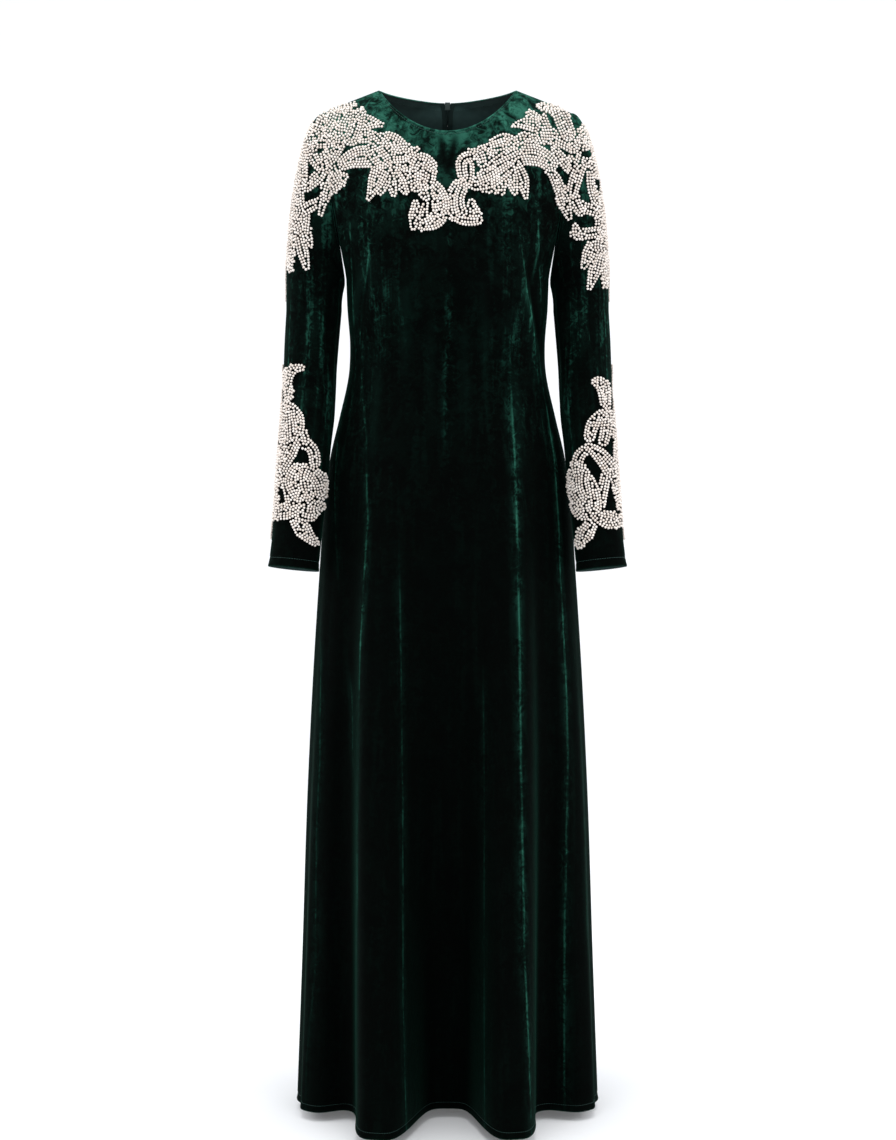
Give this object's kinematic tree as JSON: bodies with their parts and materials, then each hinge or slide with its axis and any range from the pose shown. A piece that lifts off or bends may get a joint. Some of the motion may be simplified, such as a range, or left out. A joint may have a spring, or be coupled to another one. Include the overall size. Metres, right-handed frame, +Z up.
{
  "type": "maxi dress",
  "caption": "Floor-length A-line velvet dress in its worn form, with a round neck, long set-in sleeves, a flared hem, a back zip and raised beaded scrolls on the chest and sleeves.",
  "frame": {"origin": "midway between the two points where the shoulder seams meet the neckline, where the dress hangs on the shoulders", "axes": "+Z up, -Y towards the front of the dress, +X towards the wearer's left"},
  "size_m": [0.493, 0.397, 1.419],
  "materials": {
    "velvet": "crushed pile velvet, dark emerald, with a soft sheen at its folds",
    "beadwork": "pale rose pearl beads sewn close in rows",
    "zip_tape": "woven tape, matt, dyed to match",
    "zip_metal": "dark enamelled metal, satin"
  },
  "bodies": {
    "dress": {"front": "velvet", "back_right": "velvet", "back_left": "velvet", "sleeve_right": "velvet", "sleeve_left": "velvet", "beads_chest_right": "beadwork", "beads_chest_left": "beadwork", "beads_shoulder_right": "beadwork", "beads_shoulder_left": "beadwork", "beads_cuff_right": "beadwork", "beads_cuff_left": "beadwork", "zip_tape_right": "zip_tape", "zip_tape_left": "zip_tape", "zip_slider": "zip_metal"},
    "pull_tab": {"zip_pull_tab": "zip_metal"}
  },
  "joints": [
    {"name": "pull_tab_swing", "type": "hinge", "parent": "dress", "child": "pull_tab", "pos_m": [0, 0.05989, -0.0155], "axis": [1, 0, 0], "range_deg": [0, 140]}
  ]
}
